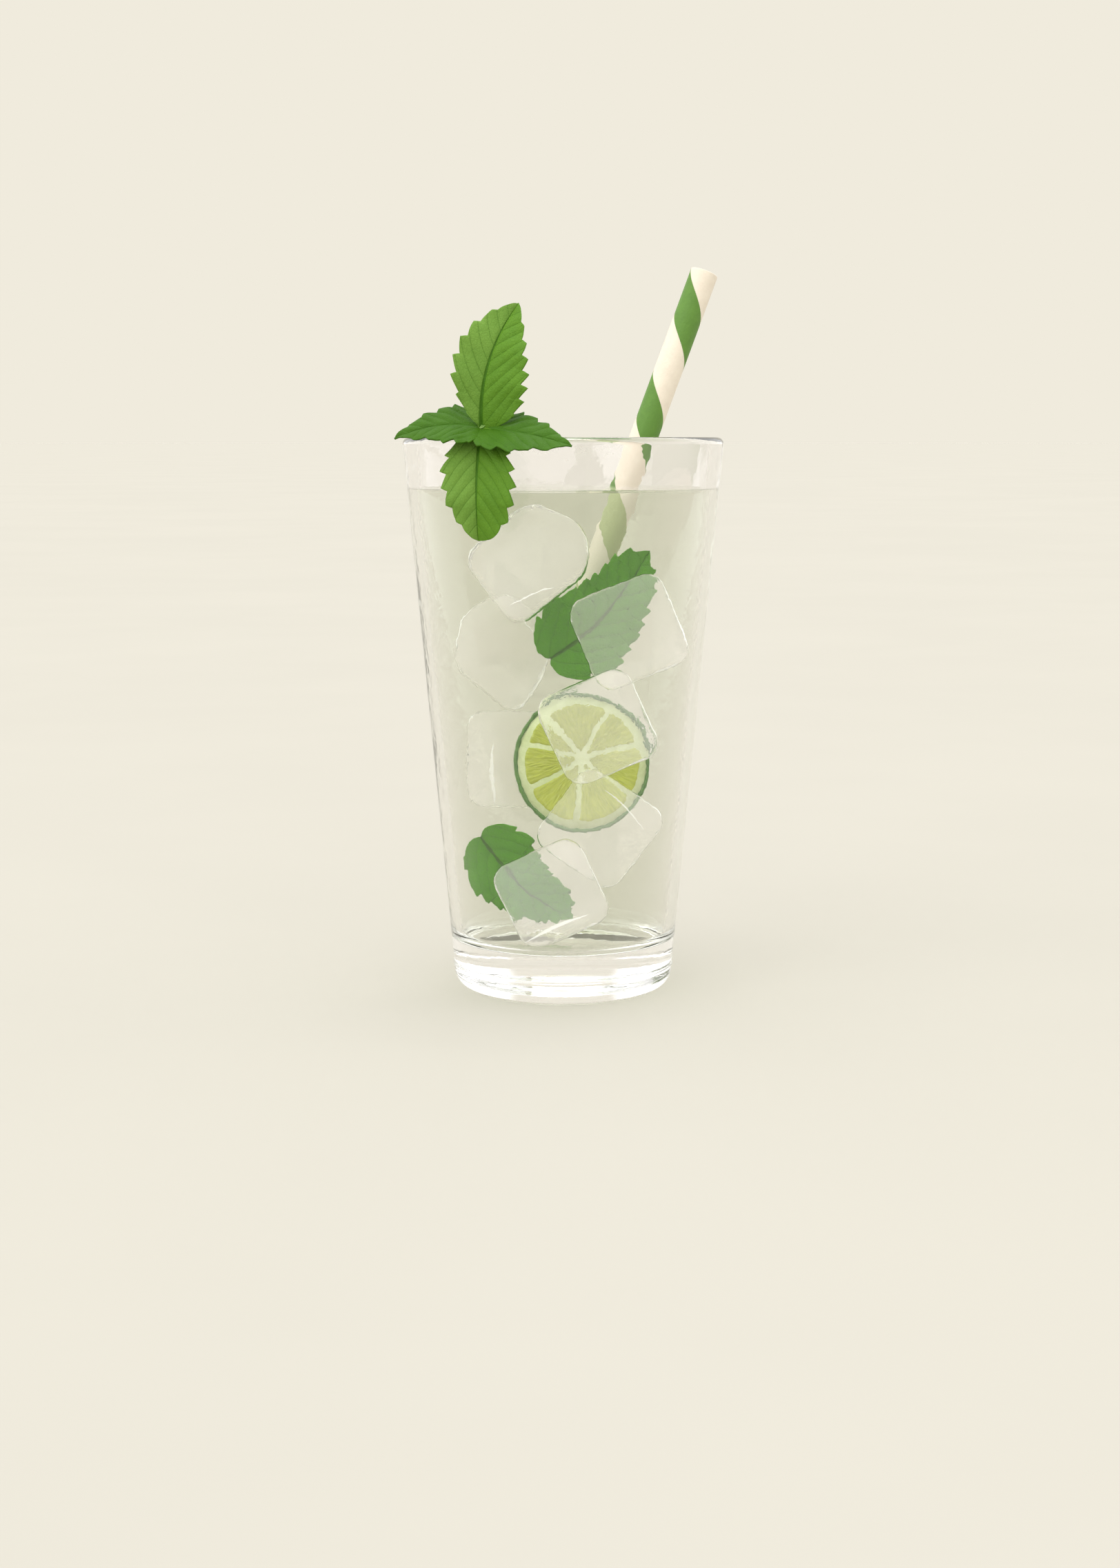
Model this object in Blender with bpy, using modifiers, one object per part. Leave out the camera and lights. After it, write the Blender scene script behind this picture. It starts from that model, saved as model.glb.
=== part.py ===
"""A mojito in a tall tapered glass, with a striped paper straw and a sprig of mint.

The frame is the glass's own: the origin is the middle of its flat base, +Z is up, and the
side that is seen first faces -Y. Lengths are metres.
"""

import math

import bmesh
import bpy
from mathutils import Vector

# The glass: a tapered tumbler with a thick base.
GLASS_HEIGHT = 0.150
RIM_RADIUS = 0.0432
FOOT_RADIUS = 0.0295
WALL = 0.0036
BASE_THICKNESS = 0.0136
FOOT_ROUNDING = 0.005
INNER_ROUNDING = 0.004
RIM_ROUNDING = 0.00175

# The drink stands a little below the rim, and creeps up the wall in a meniscus.
DRINK_LEVEL = 0.1360
MENISCUS_RISE = 0.0007
MENISCUS_REACH = 0.0016
MENISCUS_ROUNDING = 0.0015

# The straw leans on the rim at the back right, with its foot deep in the drink.
STRAW_RADIUS = 0.0039
STRAW_WALL = 0.0005
STRAW_FOOT = Vector((0.0001, 0.0185, 0.0896))
STRAW_AT_RIM = Vector((0.0226, 0.0272, 0.1500))
STRAW_TOP_HEIGHT = 0.1955

# The sprig hangs over the rim at the front left. Its node is where the leaves meet.
SPRIG_ANGLE = math.radians(240.8)
SPRIG_REACH = 0.0424
SPRIG_HEIGHT = 0.1523
STEM_RADIUS = 0.00125
# The stem's route, as steps inward and upward from the node: up, over the rim, down, end.
STEM_STEPS = ((0.0, 0.0010), (0.0040, -0.0010), (0.0070, -0.0065), (0.0085, -0.0223))
LEAF_THICKNESS = 0.0005
LEAF_BASE_WIDTH = 0.0018
LEAF_TIP_WIDTH = 0.0004
TOOTH_DEPTH = 0.20
TOOTH_RISE = 0.85
TOOTHED_FROM = 0.3
WAVE_HEIGHT = 0.0003
WAVES = 3.5

# Each leaf: the places of its middle and its tip, seen from the node, the way its face
# turns, its teeth a side, how far its halves fold up, and its two margins, right then left
# as the face is seen with the tip up. A margin is a greatest half width, and how steeply
# the outline rises from the base and falls to the tip.
LEAVES = {
    "upper": {
        "middle": (0.0019, -0.0006, 0.0163),
        "tip": (0.0094, 0.0040, 0.0312),
        "face": (-0.15, -1.0, 0.10),
        "teeth": 8,
        "fold": 0.20,
        "margins": ((0.0108, 0.42, 0.85), (0.0083, 0.95, 0.98)),
    },
    "lower": {
        "middle": (-0.0011, -0.0066, -0.0137),
        "tip": (-0.0008, -0.0058, -0.0281),
        "face": (-0.25, -0.97, 0.10),
        "teeth": 7,
        "fold": 0.18,
        "margins": ((0.0084, 0.60, 0.80), (0.0099, 0.60, 0.50)),
    },
    "left": {
        "middle": (-0.0108, -0.0008, 0.0005),
        "tip": (-0.0220, -0.0010, -0.0026),
        "face": (0.10, -0.56, 0.80),
        "teeth": 6,
        "fold": 0.08,
        "margins": ((0.0074, 0.25, 0.95), (0.0084, 0.35, 1.00)),
    },
    "right": {
        "middle": (0.0119, -0.0068, -0.0016),
        "tip": (0.0228, -0.0110, -0.0044),
        "face": (-0.10, -0.55, 0.80),
        "teeth": 6,
        "fold": 0.08,
        "margins": ((0.0092, 0.35, 0.90), (0.0070, 0.35, 1.10)),
    },
}

# How finely the shapes are divided.
TURN_STEPS = 72
ARC_STEPS = 6
STRAW_STEPS = 24
LEAF_COLUMNS = 8

# Neighbours that would touch keep this far apart.
GAP = 0.0003
MERGE = 0.0001
WELD = 0.00001
STEM_RING_STEPS = 2
STEM_LENGTH_STEPS = 4
SHARP_ANGLE = math.radians(40)


def clear_scene():
    for thing in list(bpy.data.objects):
        bpy.data.objects.remove(thing, do_unlink=True)


def collection(name):
    made = bpy.data.collections.new(name)
    bpy.context.scene.collection.children.link(made)
    return made


def material(name, colour, roughness, transmission=0.0):
    made = bpy.data.materials.new(name)
    made.use_nodes = True
    shader = made.node_tree.nodes["Principled BSDF"]
    shader.inputs["Base Color"].default_value = (*colour, 1.0)
    shader.inputs["Roughness"].default_value = roughness
    shader.inputs["Metallic"].default_value = 0.0
    shader.inputs["Transmission Weight"].default_value = transmission
    return made


def outer_radius(height):
    """The glass's outer radius at a height, along its straight taper."""
    return FOOT_RADIUS + (RIM_RADIUS - FOOT_RADIUS) * height / GLASS_HEIGHT


def inner_radius(height):
    return outer_radius(height) - WALL


def filleted(corners):
    """An outline through (x, z, rounding) corners, each rounded corner as an arc."""
    outline = []
    for index, (x, z, rounding) in enumerate(corners):
        here = Vector((x, z))
        if rounding == 0.0:
            outline.append(here)
            continue
        back = (Vector(corners[index - 1][:2]) - here).normalized()
        ahead = (Vector(corners[index + 1][:2]) - here).normalized()
        half = back.angle(ahead) / 2
        centre = here + (back + ahead).normalized() * rounding / math.sin(half)
        start = here + back * rounding / math.tan(half) - centre
        sweep = start.angle_signed(here + ahead * rounding / math.tan(half) - centre)
        for step in range(ARC_STEPS + 1):
            angle = -sweep * step / ARC_STEPS
            turned = Vector((
                start.x * math.cos(angle) - start.y * math.sin(angle),
                start.x * math.sin(angle) + start.y * math.cos(angle),
            ))
            outline.append(centre + turned)
    return outline


def finish_mesh(mesh, surface):
    mesh.materials.append(surface)
    mesh.shade_smooth()
    mesh.set_sharp_from_angle(angle=SHARP_ANGLE)


def turned_piece(name, outline, steps, surface, home, closed=False):
    """A solid of revolution about Z from an outline at +X that runs down its outer side."""
    bm = bmesh.new()
    points = [bm.verts.new((place.x, 0.0, place.y)) for place in outline]
    for first, second in zip(points, points[1:]):
        bm.edges.new((first, second))
    if closed:
        bm.edges.new((points[-1], points[0]))
    mesh = bpy.data.meshes.new(name)
    bm.to_mesh(mesh)
    bm.free()
    piece = bpy.data.objects.new(name, mesh)
    home.objects.link(piece)
    screw = piece.modifiers.new("turn", "SCREW")
    screw.steps = steps
    screw.render_steps = steps
    screw.use_merge_vertices = True
    screw.merge_threshold = MERGE
    screw.use_smooth_shade = True
    finish_mesh(mesh, surface)
    return piece


def tube(name, outer, bore, length, surface, home):
    """A straight tube from the origin up +Z."""
    outline = [Vector(p) for p in ((outer, length), (outer, 0.0), (bore, 0.0), (bore, length))]
    return turned_piece(name, outline, STRAW_STEPS, surface, home, closed=True)


def round_rod(name, route, radius, surface, home):
    """A capped rod along a smooth curve through the route's points, as a mesh."""
    curve = bpy.data.curves.new(name, "CURVE")
    curve.dimensions = "3D"
    curve.bevel_depth = radius
    curve.bevel_resolution = STEM_RING_STEPS
    curve.resolution_u = STEM_LENGTH_STEPS
    curve.use_fill_caps = True
    spline = curve.splines.new("BEZIER")
    spline.bezier_points.add(len(route) - 1)
    for point, place in zip(spline.bezier_points, route):
        point.co = place
        point.handle_left_type = "AUTO"
        point.handle_right_type = "AUTO"
    guide = bpy.data.objects.new(name, curve)
    home.objects.link(guide)
    rod = as_mesh(guide, name, home)
    finish_mesh(rod.data, surface)
    return rod


def as_mesh(source, name, home):
    """Replaces an object by the welded mesh that it makes."""
    bpy.context.view_layer.update()
    graph = bpy.context.evaluated_depsgraph_get()
    mesh = bpy.data.meshes.new_from_object(source.evaluated_get(graph))
    bm = bmesh.new()
    bm.from_mesh(mesh)
    bmesh.ops.remove_doubles(bm, verts=bm.verts, dist=WELD)
    bmesh.ops.recalc_face_normals(bm, faces=bm.faces)
    bm.to_mesh(mesh)
    bm.free()
    place = source.matrix_world.copy()
    bpy.data.objects.remove(source, do_unlink=True)
    mesh.name = name
    piece = bpy.data.objects.new(name, mesh)
    piece.matrix_world = place
    home.objects.link(piece)
    return piece


def as_cutter(piece):
    piece.hide_render = True
    piece.display_type = "WIRE"


def cut(piece, cutter):
    boolean = piece.modifiers.new("cut " + cutter.name, "BOOLEAN")
    boolean.operation = "DIFFERENCE"
    boolean.object = cutter


def make_glass(home):
    corners = [
        (0.0, BASE_THICKNESS, 0.0),
        (inner_radius(BASE_THICKNESS), BASE_THICKNESS, INNER_ROUNDING),
        (inner_radius(GLASS_HEIGHT), GLASS_HEIGHT, RIM_ROUNDING),
        (outer_radius(GLASS_HEIGHT), GLASS_HEIGHT, RIM_ROUNDING),
        (outer_radius(0.0), 0.0, FOOT_ROUNDING),
        (0.0, 0.0, 0.0),
    ]
    clear = material("clear glass", (0.93, 0.92, 0.90), 0.03, transmission=1.0)
    return turned_piece("glass", filleted(corners), TURN_STEPS, clear, home)


def make_drink(home):
    """The drink fills the glass up to its level, a hair clear of the wall and the base."""
    bottom = BASE_THICKNESS + GAP
    lip = DRINK_LEVEL + MENISCUS_RISE
    corners = [
        (0.0, DRINK_LEVEL, 0.0),
        (inner_radius(DRINK_LEVEL) - GAP - MENISCUS_REACH, DRINK_LEVEL, MENISCUS_ROUNDING),
        (inner_radius(lip) - GAP, lip, 0.0),
        (inner_radius(bottom) - GAP, bottom, INNER_ROUNDING - GAP),
        (0.0, bottom, 0.0),
    ]
    lime_water = material("lime and mint water", (0.67, 0.65, 0.51), 0.1, transmission=0.6)
    return turned_piece("drink", filleted(corners), TURN_STEPS, lime_water, home)


def stand_along(piece, foot, direction):
    piece.location = foot
    piece.rotation_mode = "QUATERNION"
    piece.rotation_quaternion = direction.to_track_quat("Z", "Y")


def make_straw(home, cutters):
    """The straw and the tube-shaped cutter that clears the drink on both its sides."""
    direction = (STRAW_AT_RIM - STRAW_FOOT).normalized()
    length = (STRAW_TOP_HEIGHT - STRAW_FOOT.z) / direction.z
    paper = material("cream and green paper", (0.87, 0.82, 0.69), 0.7)
    bore = STRAW_RADIUS - STRAW_WALL
    straw = tube("straw", STRAW_RADIUS, bore, length, paper, home)
    stand_along(straw, STRAW_FOOT, direction)
    slot = tube("straw slot", STRAW_RADIUS + GAP, bore - GAP, length, paper, cutters)
    stand_along(slot, STRAW_FOOT - direction * GAP, direction)
    as_cutter(slot)
    return straw, slot


def row_places(teeth):
    """Where the rows of a leaf's mesh lie, from 0 at its base to 1 at its tip."""
    places = []
    for tooth in range(teeth):
        places += [(tooth + part) / teeth for part in (0.0, TOOTH_RISE / 2, TOOTH_RISE)]
    return places + [1.0]


def half_width(place, margin, teeth):
    """A margin's distance from the midrib at a place along it, with its saw teeth."""
    widest, rise, fall = margin
    peak = rise / (rise + fall)
    smooth = (place / peak) ** rise * ((1.0 - place) / (1.0 - peak)) ** fall
    part = place * teeth % 1.0
    tooth = part / TOOTH_RISE if part <= TOOTH_RISE + MERGE else 0.0
    toothed = 1.0 + TOOTH_DEPTH * (tooth - 0.5) * min(1.0, place / TOOTHED_FROM)
    return max(widest * smooth * toothed, LEAF_BASE_WIDTH / 2 * (1.0 - place), LEAF_TIP_WIDTH / 2)


def leaf_point(place, side, leaf, node):
    """A point of the leaf's middle surface: place runs to the tip, side across it."""
    middle = Vector(leaf["middle"])
    tip = Vector(leaf["tip"])
    pull = middle * 2 - tip / 2
    midrib = pull * 2 * place * (1 - place) + tip * place**2
    along = (pull * (1 - 2 * place) + tip * place).normalized()
    across = Vector(leaf["face"]).cross(along).normalized()
    up = along.cross(across)
    margin = leaf["margins"][1 if side > 0 else 0]
    reach = half_width(place, margin, leaf["teeth"]) * side
    wave = WAVE_HEIGHT * math.sin(place * math.tau * WAVES) * abs(side)
    return node + midrib + across * reach + up * (abs(reach) * leaf["fold"] + wave)


def make_leaf(name, leaf, node, surface, home):
    rows = row_places(leaf["teeth"])
    bm = bmesh.new()
    bmesh.ops.create_grid(bm, x_segments=len(rows) - 1, y_segments=LEAF_COLUMNS, size=1.0)
    for vert in bm.verts:
        row = round((vert.co.x + 1) / 2 * (len(rows) - 1))
        vert.co = leaf_point(rows[row], vert.co.y, leaf, node)
    bmesh.ops.triangulate(bm, faces=bm.faces)
    mesh = bpy.data.meshes.new(name)
    bm.to_mesh(mesh)
    bm.free()
    finish_mesh(mesh, surface)
    blade = bpy.data.objects.new(name, mesh)
    home.objects.link(blade)
    thicken = blade.modifiers.new("thickness", "SOLIDIFY")
    thicken.thickness = LEAF_THICKNESS
    thicken.offset = 0.0
    return blade


def stem_route(node):
    """From the node over the rim, then down inside the wall into the drink."""
    inward = -Vector((math.cos(SPRIG_ANGLE), math.sin(SPRIG_ANGLE), 0.0))
    return [node + inward * step + Vector((0.0, 0.0, rise)) for step, rise in STEM_STEPS]


def make_sprig(home, cutters):
    """Four leaves and their stem, fused, and the cutter that clears the drink round it."""
    outward = Vector((math.cos(SPRIG_ANGLE), math.sin(SPRIG_ANGLE), 0.0))
    node = outward * SPRIG_REACH + Vector((0.0, 0.0, SPRIG_HEIGHT))
    green = material("mint green", (0.13, 0.28, 0.036), 0.5)
    stem = round_rod("stem", stem_route(node), STEM_RADIUS, green, home)
    blades = collection("mint leaves")
    for name, leaf in LEAVES.items():
        make_leaf(name + " leaf", leaf, node, green, blades)
    join = stem.modifiers.new("leaves", "BOOLEAN")
    join.operation = "UNION"
    join.operand_type = "COLLECTION"
    join.collection = blades
    sprig = as_mesh(stem, "mint_sprig", home)
    sprig.data.shade_smooth()
    sprig.data.set_sharp_from_angle(angle=SHARP_ANGLE)
    for blade in list(blades.objects):
        bpy.data.objects.remove(blade, do_unlink=True)
    bpy.data.collections.remove(blades)
    route = stem_route(node)
    route[-1] = route[-1] - Vector((0.0, 0.0, GAP))
    slot = round_rod("stem slot", route, STEM_RADIUS + GAP, green, cutters)
    as_cutter(slot)
    return sprig, slot


def main():
    clear_scene()
    parts = collection("mojito")
    cutters = collection("cutters")
    make_glass(parts)
    drink = make_drink(parts)
    straw_slot = make_straw(parts, cutters)[1]
    stem_slot = make_sprig(parts, cutters)[1]
    cut(drink, straw_slot)
    cut(drink, stem_slot)


main()
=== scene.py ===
# %% [markdown]
# # A mojito, dressed piece by piece
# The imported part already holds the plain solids: a glass, the drink, a straw and a sprig of
# mint. Here each of them gets a finer mesh and a finish, and what floats in the drink is
# added: seven ice cubes, a slice of lime and two mint leaves.
# Blender measures in metres, so small things are written as a number times `MM`.

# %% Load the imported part
import math

import bmesh
import bpy
import numpy as np
from mathutils import Euler, Matrix, Vector, noise


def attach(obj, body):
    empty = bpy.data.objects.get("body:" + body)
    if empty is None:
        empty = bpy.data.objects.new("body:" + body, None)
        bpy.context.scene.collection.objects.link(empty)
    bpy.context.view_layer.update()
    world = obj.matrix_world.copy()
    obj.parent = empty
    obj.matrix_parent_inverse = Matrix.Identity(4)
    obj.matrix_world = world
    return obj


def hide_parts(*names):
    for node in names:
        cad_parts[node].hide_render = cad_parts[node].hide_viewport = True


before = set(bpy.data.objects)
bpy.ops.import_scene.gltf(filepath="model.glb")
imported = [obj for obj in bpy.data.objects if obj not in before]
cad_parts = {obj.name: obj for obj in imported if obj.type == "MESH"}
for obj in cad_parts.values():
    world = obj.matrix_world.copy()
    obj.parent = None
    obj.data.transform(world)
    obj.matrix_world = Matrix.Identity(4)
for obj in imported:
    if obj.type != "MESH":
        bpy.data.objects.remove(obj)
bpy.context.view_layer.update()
MM = 0.001
print("solids:", ", ".join(sorted(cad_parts)))

# %% [markdown]
# ## The camera
# A picture of a glass tells where it was taken from: its rim is seen edge-on, so the lens is
# level with it, and its foot curves, because the lens is above it. A camera fitted to those
# edges stands 64 cm away. Knowing it also lets a piece be placed by a point of the picture
# and a depth, which `at_pixel` does.

# %% Camera
PICTURE_WIDTH, PICTURE_HEIGHT = 1624, 2274
FOCAL_PIXELS = 3420
LENS_AT = Vector((-0.84, -640.0, 150.0)) * MM
PITCH_DOWN = math.radians(8.367)
SENSOR = 36.0
NEAREST_SEEN = 10.0 * MM

lens = bpy.data.cameras.new("camera")
lens.sensor_fit = "VERTICAL"
lens.sensor_height = SENSOR
lens.lens = SENSOR * FOCAL_PIXELS / PICTURE_HEIGHT
lens.clip_start = NEAREST_SEEN
camera = bpy.data.objects.new("camera", lens)
camera.location = LENS_AT
camera.rotation_euler = (math.pi / 2 - PITCH_DOWN, 0.0, 0.0)
bpy.context.scene.collection.objects.link(camera)
bpy.context.scene.camera = camera
AHEAD = Vector((0.0, math.cos(PITCH_DOWN), -math.sin(PITCH_DOWN)))
UPWARD = Vector((0.0, math.sin(PITCH_DOWN), math.cos(PITCH_DOWN)))


def at_pixel(across, down, depth_y):
    """The point that the picture shows at a pixel, at a depth in millimetres along +Y."""
    right = (across - PICTURE_WIDTH / 2) / FOCAL_PIXELS
    rise = (PICTURE_HEIGHT / 2 - down) / FOCAL_PIXELS
    ray = AHEAD + UPWARD * rise + Vector((right, 0.0, 0.0))
    return LENS_AT + ray * ((depth_y * MM - LENS_AT.y) / ray.y)


def pixel_size(place):
    """How many metres one pixel of the picture covers at a point."""
    return (place - LENS_AT).dot(AHEAD) / FOCAL_PIXELS


print("lens %.1f mm, one pixel at the glass is %.3f mm" % (
    lens.lens, pixel_size(Vector()) / MM))

# %% [markdown]
# ## Helpers for meshes
# A glass, a drink, a straw and a round floor are all turned shapes: an outline at one side,
# swept once round the upright axis. The Screw modifier does that, and stays easy to edit.
# Other pieces are grids of points that a formula places, so one helper builds a mesh from a
# grid.

# %% Mesh helpers
TURN_STEPS = 192
BRACE = 0.3 * MM
LONG_RUN = 4 * BRACE
MERGE_WITHIN = 0.01 * MM
ARC_STEPS = 10


def show(name, mesh, material):
    """Links a mesh as a smooth object with one material."""
    mesh.name = name
    mesh.materials.append(material)
    mesh.shade_smooth()
    piece = bpy.data.objects.new(name, mesh)
    bpy.context.scene.collection.objects.link(piece)
    return piece


def braced(outline, closed):
    """The outline with a point close to each end of its long runs. Smooth shading blends the
    directions of the faces at a point, and this keeps the blend out of the straight walls."""
    points = []
    for here, ahead in zip(outline, outline[1:] + outline[:1]):
        points.append(here)
        step = Vector(ahead) - Vector(here)
        if step.length > LONG_RUN and (closed or ahead is not outline[0]):
            points.append(Vector(here) + step.normalized() * BRACE)
            points.append(Vector(ahead) - step.normalized() * BRACE)
    return points


def turned(name, outline, material, closed=False, steps=TURN_STEPS):
    """A solid of revolution about Z, from (radius, height) points that run down its outer
    side."""
    bm = bmesh.new()
    points = [bm.verts.new((radius, 0.0, height)) for radius, height in braced(outline, closed)]
    pairs = list(zip(points, points[1:])) + ([(points[-1], points[0])] if closed else [])
    for pair in pairs:
        bm.edges.new(pair)
    mesh = bpy.data.meshes.new(name)
    bm.to_mesh(mesh)
    bm.free()
    piece = show(name, mesh, material)
    turn = piece.modifiers.new("turn", "SCREW")
    turn.steps = turn.render_steps = steps
    turn.use_merge_vertices = True
    turn.merge_threshold = MERGE_WITHIN
    turn.use_smooth_shade = True
    return piece


def rounded(corners, steps=ARC_STEPS):
    """An outline through (radius, height, rounding) corners, each rounding an arc."""
    outline = []
    for index, (x, z, rounding) in enumerate(corners):
        here = Vector((x, z))
        if rounding == 0.0:
            outline.append(here)
            continue
        back = (Vector(corners[index - 1][:2]) - here).normalized()
        ahead = (Vector(corners[(index + 1) % len(corners)][:2]) - here).normalized()
        half = back.angle(ahead) / 2
        centre = here + (back + ahead).normalized() * rounding / math.sin(half)
        start = here + back * rounding / math.tan(half) - centre
        sweep = start.angle_signed(here + ahead * rounding / math.tan(half) - centre)
        for step in range(steps + 1):
            turn = Matrix.Rotation(-sweep * step / steps, 2)
            outline.append(centre + turn @ start)
    return outline


def sheet_mesh(name, grid, around=False):
    """A mesh of four-sided faces over a grid of points (rows, columns, 3)."""
    rows, columns = grid.shape[:2]
    index = np.arange(rows * columns).reshape(rows, columns)
    if around:
        index = np.hstack([index, index[:, :1]])
    faces = np.stack([index[:-1, :-1], index[:-1, 1:], index[1:, 1:], index[1:, :-1]], -1)
    mesh = bpy.data.meshes.new(name)
    mesh.from_pydata(grid.reshape(-1, 3).tolist(), [], faces.reshape(-1, 4).tolist())
    return mesh


def joined(name, parts):
    """One mesh of several parts, which are used up."""
    bm = bmesh.new()
    for part in parts:
        bm.from_mesh(part)
        bpy.data.meshes.remove(part)
    mesh = bpy.data.meshes.new(name)
    bm.to_mesh(mesh)
    bm.free()
    return mesh


def keep_with(piece, slot, *nodes):
    """Every piece here rides on the glass and may stand for a solid, whose part it hides. slot is
    not used.
    """
    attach(piece, "root")
    if nodes:
        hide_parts(*nodes)
    return piece


# %% [markdown]
# ## Helpers for materials
# Blender's materials are graphs of nodes. `Graph` adds nodes and joins them in short lines.
# Effects that several finishes share are made once, as node groups with named inputs and
# outputs, and each material then places them with its own values.

# %% Node helpers
def linear(red, green, blue):
    """A colour as a shader wants it, from the 0 to 255 values of a colour picker, by the
    curve that screens use."""
    parts = []
    for value in (red, green, blue):
        share = value / 255
        parts.append(share / 12.92 if share <= 0.04045 else ((share + 0.055) / 1.055) ** 2.4)
    return (*parts, 1.0)


class Graph:
    """A node tree, with short ways to add nodes and join them."""

    # The sockets that a Mix node uses for colours: the share, both colours and the result.
    MIX_COLOURS = (0, 6, 7)
    MIX_RESULT = 2

    def __init__(self, tree):
        self.tree = tree

    def feed(self, socket, value):
        if isinstance(value, bpy.types.NodeSocket):
            self.tree.links.new(value, socket)
        elif value is not None:
            socket.default_value = value

    def add(self, kind, inputs=(), **settings):
        node = self.tree.nodes.new("ShaderNode" + kind)
        for key, value in settings.items():
            setattr(node, key, value)
        for key, value in dict(inputs).items():
            self.feed(node.inputs[key], value)
        return node

    def math(self, operation, *values):
        node = self.add("Math", operation=operation)
        for socket, value in zip(node.inputs, values):
            self.feed(socket, value)
        return node.outputs[0]

    def vector(self, operation, *values):
        node = self.add("VectorMath", operation=operation)
        for socket, value in zip(node.inputs, values):
            self.feed(socket, value)
        return node

    def blend(self, share, first, second, way="MIX"):
        node = self.add("Mix", data_type="RGBA", blend_type=way)
        for index, value in zip(self.MIX_COLOURS, (share, first, second)):
            self.feed(node.inputs[index], value)
        return node.outputs[self.MIX_RESULT]

    def span(self, value, low, high, to_low=0.0, to_high=1.0, smooth=True):
        node = self.add("MapRange", interpolation_type="SMOOTHSTEP" if smooth else "LINEAR")
        for socket, part in zip(node.inputs, (value, low, high, to_low, to_high)):
            self.feed(socket, part)
        return node.outputs[0]

    def noise(self, place, scale, detail=3.0, roughness=0.5):
        inputs = {"Vector": place, "Scale": scale, "Detail": detail, "Roughness": roughness}
        return self.add("TexNoise", inputs)

    def object_place(self):
        return self.add("TexCoord").outputs["Object"]

    def relief(self, shader, height, strength, distance, over=None):
        inputs = {"Height": height, "Strength": strength, "Distance": distance, "Normal": over}
        node = self.add("Bump", inputs)
        self.feed(shader.inputs["Normal"], node.outputs[0])
        return node

    def use(self, shared, **inputs):
        node = self.tree.nodes.new("ShaderNodeGroup")
        node.node_tree = shared
        for key, value in inputs.items():
            self.feed(node.inputs[key.replace("_", " ")], value)
        return node


def group(name, inputs, outputs):
    """A new node group. Gives its graph, its entry node and its exit node."""
    tree = bpy.data.node_groups.new(name, "ShaderNodeTree")
    for label, kind, value in inputs:
        socket = tree.interface.new_socket(label, in_out="INPUT", socket_type="NodeSocket" + kind)
        if value is not None:
            socket.default_value = value
    for label, kind in outputs:
        tree.interface.new_socket(label, in_out="OUTPUT", socket_type="NodeSocket" + kind)
    return Graph(tree), tree.nodes.new("NodeGroupInput"), tree.nodes.new("NodeGroupOutput")


def finish(name, colour, roughness, **constants):
    """A material with one Principled shader. Gives the material, its graph and the shader."""
    made = bpy.data.materials.new(name)
    made.use_nodes = True
    shader = made.node_tree.nodes["Principled BSDF"]
    shader.inputs["Base Color"].default_value = colour
    shader.inputs["Roughness"].default_value = roughness
    for key, value in constants.items():
        shader.inputs[key.replace("_", " ")].default_value = value
    return made, Graph(made.node_tree), shader


def let_light_through(graph, shader, tint):
    """Glass would keep the sky's light from what it holds. So the rays that look for light,
    and those that a matt surface sends out, meet a tinted opening in its place."""
    opening = graph.add("BsdfTransparent", {"Color": tint}).outputs[0]
    path = graph.add("LightPath")
    seen = shader.outputs[0]
    for ray in ("Is Shadow Ray", "Is Diffuse Ray"):
        mix = graph.add("MixShader", {0: path.outputs[ray], 1: seen, 2: opening})
        seen = mix.outputs[0]
    graph.tree.links.new(seen, graph.tree.nodes["Material Output"].inputs["Surface"])


# %% [markdown]
# Two effects serve nearly every finish. Mottle is soft uneven colour, as leaves, peel and
# paper have: two sizes of noise, mixed. Grain is the fine relief that breaks up a gloss.

# %% Shared effects: mottle and grain
MOTTLE_FINENESS = 5.0
MOTTLE_BROAD_SHARE = 0.7
MOTTLE_SPAN = (0.35, 0.65)


def make_mottle():
    graph, enter, leave = group(
        "mottle",
        [("Place", "Vector", None), ("Size", "Float", 0.01), ("Light", "Color", None),
         ("Dark", "Color", None)],
        [("Colour", "Color")],
    )
    scale = graph.math("DIVIDE", 1.0, enter.outputs["Size"])
    broad = graph.noise(enter.outputs["Place"], scale).outputs[0]
    fine_scale = graph.math("MULTIPLY", scale, MOTTLE_FINENESS)
    fine = graph.noise(enter.outputs["Place"], fine_scale).outputs[0]
    amount = graph.math("ADD", graph.math("MULTIPLY", broad, MOTTLE_BROAD_SHARE),
                        graph.math("MULTIPLY", fine, 1.0 - MOTTLE_BROAD_SHARE))
    amount = graph.span(amount, *MOTTLE_SPAN)
    graph.feed(leave.inputs["Colour"], graph.blend(
        amount, enter.outputs["Dark"], enter.outputs["Light"]))
    return graph.tree


def make_grain():
    graph, enter, leave = group(
        "grain",
        [("Place", "Vector", None), ("Size", "Float", 0.001), ("Depth", "Float", 0.2)],
        [("Normal", "Vector")],
    )
    scale = graph.math("DIVIDE", 1.0, enter.outputs["Size"])
    height = graph.noise(enter.outputs["Place"], scale, detail=4.0, roughness=0.6).outputs[0]
    bump = graph.add("Bump", {"Height": height, "Strength": enter.outputs["Depth"],
                              "Distance": enter.outputs["Size"]})
    graph.feed(leave.inputs["Normal"], bump.outputs[0])
    return graph.tree


MOTTLE = make_mottle()
GRAIN = make_grain()
print("node groups:", MOTTLE.name, GRAIN.name)


def mottled(graph, shader, place, size, light, dark):
    """Gives the finish a colour that wanders between a light and a dark one."""
    mottle = graph.use(MOTTLE, Place=place, Size=size, Light=light, Dark=dark)
    graph.feed(shader.inputs["Base Color"], mottle.outputs["Colour"])


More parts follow.
